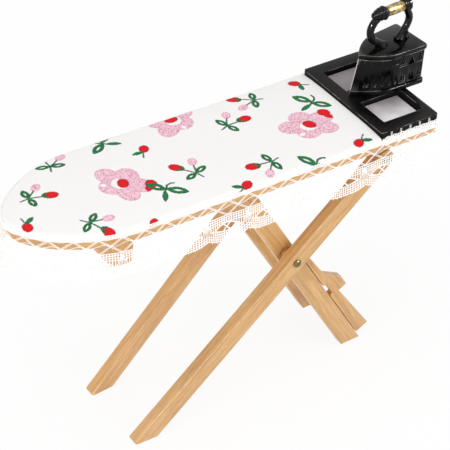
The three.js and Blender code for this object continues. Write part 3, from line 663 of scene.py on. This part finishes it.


# Lace: a white machine-made edging. A dense heading is glued round the cover's edge, an open
# net with crossed threads hangs from it, and a close scalloped border with almond eyes ends it.

# White cotton lace is matt and lets some light through, and a faint emission paints light into
# it so that it glows a little against the wood. Its threads and its net are coarser than the real ones,
# which are too fine to show.
twist_width_mm = 0.12
lace_glow_share = 0.35
# The emission is painted light, which keeps the lace white in its shaded parts.
lace_look, lace_tree, lace_shader = material(
    "white_cotton_lace", Base_Color=srgb("#FFFFFF"), Roughness=0.9, Sheen_Weight=0.2,
    Emission_Color=srgb("#FFFFFF"), Emission_Strength=0.16,
)
lace_twist = add(
    lace_tree,
    "ShaderNodeTexWave",
    {
        "Vector": add(lace_tree, "ShaderNodeTexCoord").outputs["Object"],
        "Scale": 1 / (2 * math.pi * twist_width_mm * MM),
    },
    bands_direction="DIAGONAL",
)
lace_bump = add(
    lace_tree,
    "ShaderNodeBump",
    {"Height": lace_twist.outputs["Fac"], "Strength": 0.2, "Distance": 0.03 * MM},
)
lace_tree.links.new(lace_bump.outputs[0], lace_shader.inputs["Normal"])
lace_glow = add(lace_tree, "ShaderNodeBsdfTranslucent", {"Color": srgb("#FFFFFF")})
lace_mix = add(lace_tree, "ShaderNodeMixShader", {0: lace_glow_share, 1: lace_shader, 2: lace_glow})
lace_tree.links.new(lace_mix.outputs[0], lace_tree.nodes["Material Output"].inputs["Surface"])

# Its places are s, along the run round the board, and h, down from its upper edge.
lace_low, lace_high = deck_box("lace_flounce")
lace_drop = lace_high[2] - lace_low[2]
lace_margin = 0.2
lace_middle = 0.175
lace_dip = 1.8
lace_pitch = 11.4
lace_swing = 1.1
lace_swing_power = 1.7
lace_fold = 0.5
lace_columns = 1600
lace_tail = deck_box("deck_panel")[1][0]
lace_line, lace_out, lace_run = board_edge(lace_margin, lace_tail, lace_columns)
run_end = lace_run[-1]
scallops = round(run_end / lace_pitch)
pitch = run_end / scallops
heading_top = -0.35
heading_foot = 0.7
net_foot = 4.7
eye_roof = 6.5
eye_half = 3.6
eye_tall = 1.2
eye_middle = 7.9
eye_power = 1.6
fan_top = net_foot + 0.4
fan_foot = lace_drop - lace_dip - 1.2
fan_spread = 0.45
rest_start = deck_box("iron_rest")[0][0]
rest_blend = 1.5
rest_hold = 0.4
rest_foot = 0.35
thread_step = 0.57
heading_pitch = 0.7
border_pitch = 0.66
hem_rows = (0.62, 1.24, 1.86, 2.48)
picot_pitch = 1.5
picot_width = 0.3
picot_drop = 0.42


def beside_rest(s):
    """How far a place lies along the bare wood beside the rest, from nothing to one."""
    return np.clip((np.interp(s, lace_run, lace_line[:, 0]) - rest_start) / rest_blend, 0, 1)


def hem(s):
    """How far the scalloped hem lies below the lace's upper edge."""
    return lace_drop - lace_dip + lace_dip * np.abs(np.sin(math.pi * s / pitch))


def on_lace(s, h):
    """World places on the gathered lace, which swings out in one shallow fold to each scallop."""
    s, h = np.broadcast_arrays(np.asarray(s, float), np.asarray(h, float))
    fall = np.clip(h / lace_drop, 0, 1.02)
    fold = 1 + lace_fold * np.cos(2 * math.pi * s / pitch)
    swing = lace_swing * fall**lace_swing_power * fold
    place = [np.interp(s, lace_run, lace_line[:, k]) for k in (0, 1)]
    out = [np.interp(s, lace_run, lace_out[:, k]) for k in (0, 1)]
    above_foot = np.clip(1 - (h - heading_top) / (heading_foot - heading_top), 0, 1)
    away = lace_middle + swing - rest_hold * beside_rest(s) * above_foot
    sides = [place[k] + out[k] * away for k in (0, 1)]
    return from_deck(np.column_stack([*sides, lace_high[2] - h]))


def in_eye(s, h):
    """Whether a place lies in one of the border's almond openings."""
    along = (s / pitch - np.floor(s / pitch) - 0.5) * pitch
    return np.abs(h - eye_middle) < eye_tall * (1 - np.minimum(np.abs(along) / eye_half, 1) ** eye_power)


def in_fan(s, h):
    """Whether a place lies in the fan of loose threads between two scallops."""
    along = np.abs((s / pitch - np.round(s / pitch)) * pitch)
    return (along < fan_spread * (h - fan_top)) & (h < fan_foot)


def sweep_tree(name, look, sides):
    """Geometry nodes that turn drawn edges into round strands of one thickness."""
    tree = bpy.data.node_groups.new(name, "GeometryNodeTree")
    tree.interface.new_socket("Lines", in_out="INPUT", socket_type="NodeSocketGeometry")
    tree.interface.new_socket("Strand radius", in_out="INPUT", socket_type="NodeSocketFloat")
    tree.interface.new_socket("Strands", in_out="OUTPUT", socket_type="NodeSocketGeometry")
    start = add(tree, "NodeGroupInput")
    curve = add(tree, "GeometryNodeMeshToCurve", {0: start})
    ring = add(tree, "GeometryNodeCurvePrimitiveCircle", {"Resolution": sides, "Radius": start.outputs[1]})
    tube = add(tree, "GeometryNodeCurveToMesh", {"Curve": curve, "Profile Curve": ring, "Fill Caps": True})
    real = add(tree, "GeometryNodeRealizeInstances", {0: tube})
    smooth = add(tree, "GeometryNodeSetShadeSmooth", {0: real})
    dressed = add(tree, "GeometryNodeSetMaterial", {0: smooth, "Material": look})
    add(tree, "NodeGroupOutput", {0: dressed})
    return tree


def strands(name, tree, lines, radius_mm, shown=None):
    """The mesh of strands along lines of world points; shown says which stretches of each are made."""
    pairs, count = [], 0
    for k, line in enumerate(lines):
        first = np.arange(len(line) - 1)
        first = (first if shown is None else first[shown[k]]) + count
        pairs.append(np.column_stack([first, first + 1]))
        count += len(line)
    mesh = bpy.data.meshes.new(name)
    mesh.from_pydata(np.vstack(lines).tolist(), np.vstack(pairs).tolist(), [])
    draft = bpy.data.objects.new("draft", mesh)
    bpy.context.scene.collection.objects.link(draft)
    swept = draft.modifiers.new("sweep", "NODES")
    swept.node_group = tree
    for item in tree.interface.items_tree:
        if item.name == "Strand radius":
            swept[item.identifier] = radius_mm * MM
    result = bpy.data.meshes.new_from_object(draft.evaluated_get(bpy.context.evaluated_depsgraph_get()))
    bpy.data.objects.remove(draft)
    result.name = name
    return result


thread_tree = sweep_tree("sweep_threads", lace_look, 4)


def threads(name, lines, radius_mm, bare=None):
    """Threads along lines of (s, h) points on the lace, left out where the bare test holds."""
    shown = None
    if bare is not None:
        shown = [~bare((s[1:] + s[:-1]) / 2, (h[1:] + h[:-1]) / 2) for s, h in lines]
    mesh = strands(name, thread_tree, [on_lace(s, h) for s, h in lines], radius_mm, shown)
    return keep(name, mesh, "deck", lace_look)


# The heading is four long threads closed by short ones, and a second set fills it beside the
# rest, where the bare wood behind it would show. The sines keep them from looking ruled.
whole_run = np.arange(0, run_end + 0.01, thread_step)
heading = []
for share in np.linspace(0, 1, 4):
    foot = heading_foot + rest_foot * beside_rest(whole_run) + 0.1 * np.sin(whole_run * 1.7)
    roof = heading_top - rest_hold * beside_rest(whole_run) * (1 + 0.4 * np.sin(whole_run * 2.9))
    heading.append((whole_run, roof + (foot - roof) * share))
for s in np.arange(0, run_end, heading_pitch):
    foot = heading_foot + rest_foot * float(beside_rest(s))
    heading.append((np.full(5, s) + 0.12 * np.sin(np.arange(5) * 2 + s), np.linspace(heading_top, foot, 5)))
tail_fill = []
for s in np.arange(heading_pitch / 2, run_end, heading_pitch):
    if beside_rest(s) > 0:
        down = np.linspace(heading_top - rest_hold, heading_foot + rest_foot, 7)
        tail_fill.append((s + 0.2 * np.sin(np.arange(7) + s), down))

# The net is two pairs of zigzag threads that cross, and one that waves along the middle.
zigzag = []
for lead in (0, 0.5, pitch / 2, pitch / 2 + 0.5):
    reach = 2 * np.abs(((whole_run + lead) / pitch) % 1 - 0.5)
    zigzag.append((whole_run, heading_foot + (net_foot - heading_foot) * reach))
middle_thread = heading_foot + 0.42 * (net_foot - heading_foot)
zigzag.append((whole_run, middle_thread + 0.35 * np.sin(4 * math.pi * whole_run / pitch)))

# The border is a close grid that leaves the eyes and the fans open. Cords run along the hem
# and round the eyes, and loose threads cross each eye and spread in each fan.
border = []
for share in np.linspace(0, 1, 4):
    border.append((whole_run, np.full(len(whole_run), net_foot + (eye_roof - net_foot) * share)))
for rise in hem_rows:
    border.append((whole_run, hem(whole_run) - rise))
for s in np.arange(0.1, run_end, border_pitch):
    steps = max(int((hem(s) - net_foot) / 0.3), 6)
    border.append((np.full(steps, s), np.linspace(net_foot, hem(s), steps)))
cords = [(whole_run, hem(whole_run))]
fans = []
down = np.linspace(fan_top, fan_foot, 6)
for k in range(scallops + 1):
    for way in np.linspace(-1, 1, 7):
        fans.append((np.clip(k * pitch + fan_spread * way * (down - fan_top), 0, run_end), down))
turn = np.linspace(0, 2 * math.pi, 25)
along = np.cos(turn)
way = np.where(turn > math.pi, -1, 1)
tall = way * eye_tall * (1 - np.abs(along) ** eye_power)
cross_half = np.linspace(-1.1, 1.1, 5)
for k in range(scallops):
    middle = (k + 0.5) * pitch
    cords.append((middle + eye_half * along, eye_middle + tall))
    for lean in (-1, 1):
        for aside in (-0.12, 0.12):
            fans.append((middle + aside + cross_half, eye_middle + lean * cross_half))
picots = []
for s in np.arange(0.4, run_end - 1, picot_pitch):
    picots.append((s + np.array([0, 0.5, 1]) * picot_width, hem(s) + np.array([0, 1, 0]) * picot_drop))
lace_pieces = [
    threads("lace_heading", heading, 0.13),
    threads("lace_tail_heading", tail_fill, 0.2),
    threads("lace_net", zigzag, 0.08),
    threads("lace_border", border, 0.13, lambda s, h: in_eye(s, h) | in_fan(s, h)),
    threads("lace_cords", cords, 0.16),
    threads("lace_fans", fans, 0.09),
    threads("lace_picots", picots, 0.06),
]
for piece in lace_pieces:
    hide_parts("lace_flounce")


# Cast iron rest: a black enamelled casting pinned to the square end, with two windows and a
# centre bar. Its foremost near faces are painted light grey as glints.
def black_enamel(name, roughness, lit_rub_mm, pit_strength, gloss=0.14):
    """Glossy black paint over a slightly rough casting, with lighter edges that are partly rubbed paint and
    partly painted highlight.
    """
    pit_width_mm = 0.5
    wear_width_mm = 3
    look, tree, shader = material(name, Specular_IOR_Level=gloss)
    place = add(tree, "ShaderNodeTexCoord").outputs["Object"]
    pits = add(tree, "ShaderNodeTexNoise", {"Vector": place, "Scale": 1 / (pit_width_mm * MM), "Detail": 3})
    worn = add(
        tree, "ShaderNodeTexNoise", {"Vector": place, "Scale": 1 / (wear_width_mm * MM), "Detail": 2}
    )
    dulled = add(
        tree,
        "ShaderNodeMapRange",
        {
            "Value": worn, "From Min": 0.35, "From Max": 0.65,
            "To Min": roughness - 0.07, "To Max": roughness + 0.1,
        },
    )
    thin = add(tree, "ShaderNodeMapRange", {"Value": worn, "From Min": 0.4, "From Max": 0.7})
    paint = add(tree, "ShaderNodeMix", {0: thin, 6: srgb("#060607"), 7: srgb("#0E0E0F")}, data_type="RGBA")
    # Light grey edges: partly worn paint, partly a painted highlight on edges that face up and left.
    if lit_rub_mm:
        rubbed = worn_and_lit_edges(tree, lit_rub_mm, worn, 0.38, 0.62)
        under = paint.outputs[2]
        paint = add(tree, "ShaderNodeMix", {0: rubbed, 6: under, 7: srgb("#B9B4AD")}, data_type="RGBA")
    bump = add(tree, "ShaderNodeBump", {"Height": pits, "Strength": pit_strength, "Distance": 0.05 * MM})
    tree.links.new(dulled.outputs[0], shader.inputs["Roughness"])
    tree.links.new(paint.outputs[2], shader.inputs["Base Color"])
    tree.links.new(bump.outputs[0], shader.inputs["Normal"])
    return look


# Black enamel gives deep black with a soft broken gloss, and grey lines along its edges that are
# partly worn paint and partly painted highlight. The light grey of bare iron is a painted glint.
rest_edge_mm = 0.22
glint_depth_mm = 0.2
rest_look = black_enamel("black_enamel_rest", 0.36, 0.14, 0.35)
bare_iron = material("rubbed_bare_iron", Base_Color=srgb("#BFBAB4"), Metallic=0.4, Roughness=0.45)[0]
rest = eased("rest_casting", "iron_rest", rest_edge_mm, rest_look, "deck", 3)
# Faces at the very front of the near side take the light grey as a painted glint.
rest.data.materials.append(bare_iron)
glint_side = deck_box("iron_rest")[0][1] + glint_depth_mm
for face in rest.data.polygons:
    if (deck_place.inverted() @ face.center).y / MM < glint_side:
        face.material_index = 1


# White linings: a sheet of white card glued in the bottom of each of the rest's two windows.
# White card is matt, and a painted shade greys it towards the far wall of its window.
lining_edge_mm = 0.05
lining_shade_mm = 5
lining_waver_mm = 1.5
lining_look, lining_tree, lining_shader = material("white_card_lining", Roughness=0.6)
lining_place = add(lining_tree, "ShaderNodeTexCoord").outputs["Object"]
lining_parts = add(lining_tree, "ShaderNodeSeparateXYZ", {"Vector": lining_place})
lining_blur = add(
    lining_tree,
    "ShaderNodeTexNoise",
    {"Vector": lining_place, "Scale": 1 / (lining_shade_mm * MM), "Detail": 1},
)
lining_waver = add(
    lining_tree,
    "ShaderNodeMapRange",
    {
        "Value": lining_blur, "From Min": 0.3, "From Max": 0.7,
        "To Min": -lining_waver_mm * MM, "To Max": lining_waver_mm * MM,
    },
)
lining_y = lining_parts.outputs["Y"]
lining_across = add(lining_tree, "ShaderNodeMath", {0: lining_y, 1: lining_waver}, operation="ADD")
lining_low, lining_high = deck_box("rest_lining_near")
lining_shade = add(
    lining_tree,
    "ShaderNodeMapRange",
    {"Value": lining_across, "From Min": lining_low[1] * MM, "From Max": lining_high[1] * MM},
)
# Painted shade: white at the near side of the window, grey at the far side.
lining_tone = add(
    lining_tree,
    "ShaderNodeMix",
    {0: lining_shade, 6: srgb("#F9F7F8"), 7: srgb("#9C9397")},
    data_type="RGBA",
)
lining_tree.links.new(lining_tone.outputs[2], lining_shader.inputs["Base Color"])
for side in ("near", "far"):
    eased(f"lining_{side}", f"rest_lining_{side}", lining_edge_mm, lining_look, "deck")


# Charcoal iron: a cast box with a pointed toe, pierced flanks and a hinged lid, in a glossier
# black enamel than the rest. It stands free on the rest.
iron_look = black_enamel("black_enamel_iron", 0.16, 0.2, 0.12)
for name, node, edge_mm in (
    ("iron_base", "iron_sole", 0.2),
    ("iron_box", "iron_body", 0.12),
    ("iron_cap", "iron_lid", 0.3),
):
    eased(name, node, edge_mm, iron_look, "iron")


# Posts and ferrules: two bowed iron posts that stand on the lid, and the ribbed ferrules that
# hold the ends of the grip. Places are millimetres from the iron's toe.
# The handle's enamel is glossier than the box's, so that it shows thin bright lines.
iron_toe_mm = (0.7, 1.0, 8.84)
iron_turn = math.radians(4.3)
iron_place = deck_place @ Matrix.Translation(Vector(iron_toe_mm) * MM) @ Matrix.Rotation(iron_turn, 4, "Z")
lid_top = 11.05
grip_height = 20.5
handle_look = black_enamel("black_enamel_handle", 0.12, 0, 0.1, 0.2)


def in_iron(points):
    """World places of places in the iron's frame."""
    return np.array([iron_place @ Vector(np.array(point) * MM) for point in points])


def iron_rod(name, points, sides=14, steps=6):
    """A cast rod whose centre line and radius pass smoothly through rows of x, z and radius."""
    knots = np.arange(len(points))
    fine = np.linspace(0, len(points) - 1, (len(points) - 1) * steps + 1)
    thick = np.interp(fine, knots, [radius for x, z, radius in points])
    places = np.array([(x, 0, z) for x, z, radius in points], float)
    padded = np.vstack([2 * places[0] - places[1], places, 2 * places[-1] - places[-2]])
    line = []
    for t in fine:
        k = min(int(t), len(points) - 2)
        u = t - k
        a, b, c, d = padded[k : k + 4]
        bend = (2 * a - 5 * b + 4 * c - d) * u**2 + (3 * b - a - 3 * c + d) * u**3
        line.append(0.5 * (2 * b + (c - a) * u + bend))
    line = np.array(line)
    along = np.gradient(line, axis=0)
    along /= np.linalg.norm(along, axis=1)[:, None]
    across = np.cross(along, (0, 1, 0))
    across /= np.linalg.norm(across, axis=1)[:, None]
    other = np.cross(along, across)
    turn = np.linspace(0, 2 * math.pi, sides, endpoint=False)[None, :, None]
    round_it = np.cos(turn) * across[:, None] + np.sin(turn) * other[:, None]
    rings = line[:, None] + thick[:, None, None] * round_it
    faces = [tuple(range(sides))[::-1], tuple(range((len(line) - 1) * sides, len(line) * sides))]
    for ring in range(0, (len(line) - 1) * sides, sides):
        for k in range(sides):
            after = (k + 1) % sides
            faces.append((ring + k, ring + after, ring + sides + after, ring + sides + k))
    mesh = bpy.data.meshes.new(name)
    mesh.from_pydata(in_iron(rings.reshape(-1, 3)).tolist(), [], faces)
    form = bmesh.new()
    form.from_mesh(mesh)
    bmesh.ops.recalc_face_normals(form, faces=form.faces)
    form.to_mesh(mesh)
    form.free()
    for face in mesh.polygons:
        face.use_smooth = len(face.vertices) == 4
    return keep(name, mesh, "iron", handle_look)


front_post = iron_rod("front_post", [
    (8.9, lid_top, 1.55), (7.9, 12.3, 1.0), (5.7, 14.1, 0.95),
    (5.0, 16.4, 0.95), (5.8, 18.4, 0.95), (7.2, 19.5, 0.9),
])
rear_post = iron_rod("rear_post", [
    (14.9, lid_top, 1.5), (15.6, 12.4, 0.95), (17.2, 14.6, 0.9),
    (17.6, 16.6, 0.95), (16.9, 18.4, 0.9), (16.4, 19.4, 0.9),
])
iron_rod("rear_strand", [(17.0, lid_top, 1.1), (17.1, 12.2, 0.6), (17.0, 13.4, 0.5), (17.3, 14.9, 0.6)])
iron_rod("front_heel", [(10.4, lid_top, 0.9), (9.8, 11.7, 0.6), (8.6, 12.2, 0.6)])
front_turning = (
    (5.35, 0.3), (5.5, 0.75), (5.85, 1.0), (6.2, 0.85), (6.35, 1.1), (6.75, 1.4), (7.1, 1.15), (7.25, 1.4),
    (7.7, 1.68), (8.1, 1.4), (8.25, 1.6), (8.8, 1.85), (9.3, 1.6), (9.4, 1.4), (9.7, 1.38),
)
rear_turning = (
    (15.1, 1.4), (15.3, 1.65), (15.7, 1.8), (16.1, 1.55), (16.3, 1.7),
    (16.8, 1.75), (17.2, 1.3), (17.5, 1.0), (17.7, 0.4),
)
front_ferrule = iron_rod("front_ferrule", [(x, grip_height, radius) for x, radius in front_turning], 24, 3)
rear_ferrule = iron_rod("rear_ferrule", [(x, grip_height, radius) for x, radius in rear_turning], 24, 3)
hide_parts("iron_post_front")
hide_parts("iron_post_rear")
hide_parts("iron_ferrule_front")
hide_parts("iron_ferrule_rear")


# Ribs and rims cast on the flanks: a rib from the toe to the shoulder and a rim round each
# small vent, where the paint catches the light. A light grey line down the prow's edge is a painted
# highlight.
shoulder = 10.8
shoulder_half = 5.15
toe_lean = 1.9
box_foot = 1.5
box_tall = 8.1
rib_start = 2.2
rib_height = 7.2
rib_rise = 0.06
rib_radius = 0.15
vent_count = 5
vent_pitch = 1.75
vent_height = 2.65
vent_radius = 0.5
rim_radius = 0.1
prow_radius = 0.11


def on_flank(x, z, side):
    """A place on the curved toe flank of the leaning box."""
    share = x / shoulder
    swell = 2 * share * (1 - share) * (shoulder_half / shoulder + 0.5)
    half = shoulder_half * (swell + share * share)
    return (x + toe_lean * (1 - share) * (z - box_foot) / box_tall, side * half, z)


rib_tree = sweep_tree("sweep_ribs", handle_look, 8)
for label, side in (("near", -1), ("far", 1)):
    rib = [on_flank(x, rib_height + rib_rise * x, side) for x in np.linspace(rib_start, shoulder, 25)]
    rims = []
    for k in range(vent_count):
        x = shoulder - vent_pitch * (k + 0.5)
        rims.append(in_iron([
            on_flank(x + vent_radius * math.cos(turn), vent_height + vent_radius * math.sin(turn), side)
            for turn in np.linspace(0, 2 * math.pi, 17)
        ]))
    rib_mesh = strands(f"flank_rib_{label}", rib_tree, [in_iron(rib)], rib_radius)
    keep(f"flank_rib_{label}", rib_mesh, "iron", handle_look)
    rim_mesh = strands(f"vent_rims_{label}", rib_tree, rims, rim_radius)
    keep(f"vent_rims_{label}", rim_mesh, "iron", handle_look)
# The prow line: a thin light grey strand that paints in a highlight.
prow = in_iron([on_flank(0, z, 1) for z in np.linspace(box_foot, box_foot + box_tall, 9)])
prow_mesh = strands("prow_highlight", sweep_tree("sweep_rubbed", bare_iron, 8), [prow], prow_radius)
keep("prow_highlight", prow_mesh, "iron", bare_iron)


# Grip: a turned rod held between the two ferrules and lacquered gold.
# Gold lacquer gives a warm metal gloss, browned in patches where it is handled.
grip_edge_mm = 0.12
patch_width_mm = 0.9
gold, gold_tree, gold_shader = material("gold_lacquered_grip", Metallic=0.7, Roughness=0.36)
gold_place = add(gold_tree, "ShaderNodeTexCoord").outputs["Object"]
gold_patches = add(
    gold_tree, "ShaderNodeTexNoise", {"Vector": gold_place, "Scale": 1 / (patch_width_mm * MM), "Detail": 3}
)
gold_share = add(
    gold_tree, "ShaderNodeMapRange", {"Value": gold_patches, "From Min": 0.36, "From Max": 0.62}
)
gold_tone = add(
    gold_tree, "ShaderNodeMix", {0: gold_share, 6: srgb("#5F4A28"), 7: srgb("#C4AA74")}, data_type="RGBA"
)
gold_tree.links.new(gold_tone.outputs[2], gold_shader.inputs["Base Color"])
eased("gold_grip", "iron_grip", grip_edge_mm, gold, "iron")

size = {"cad": [list(p) for p in cad_bounds], "visual": [list(p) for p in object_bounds()]}
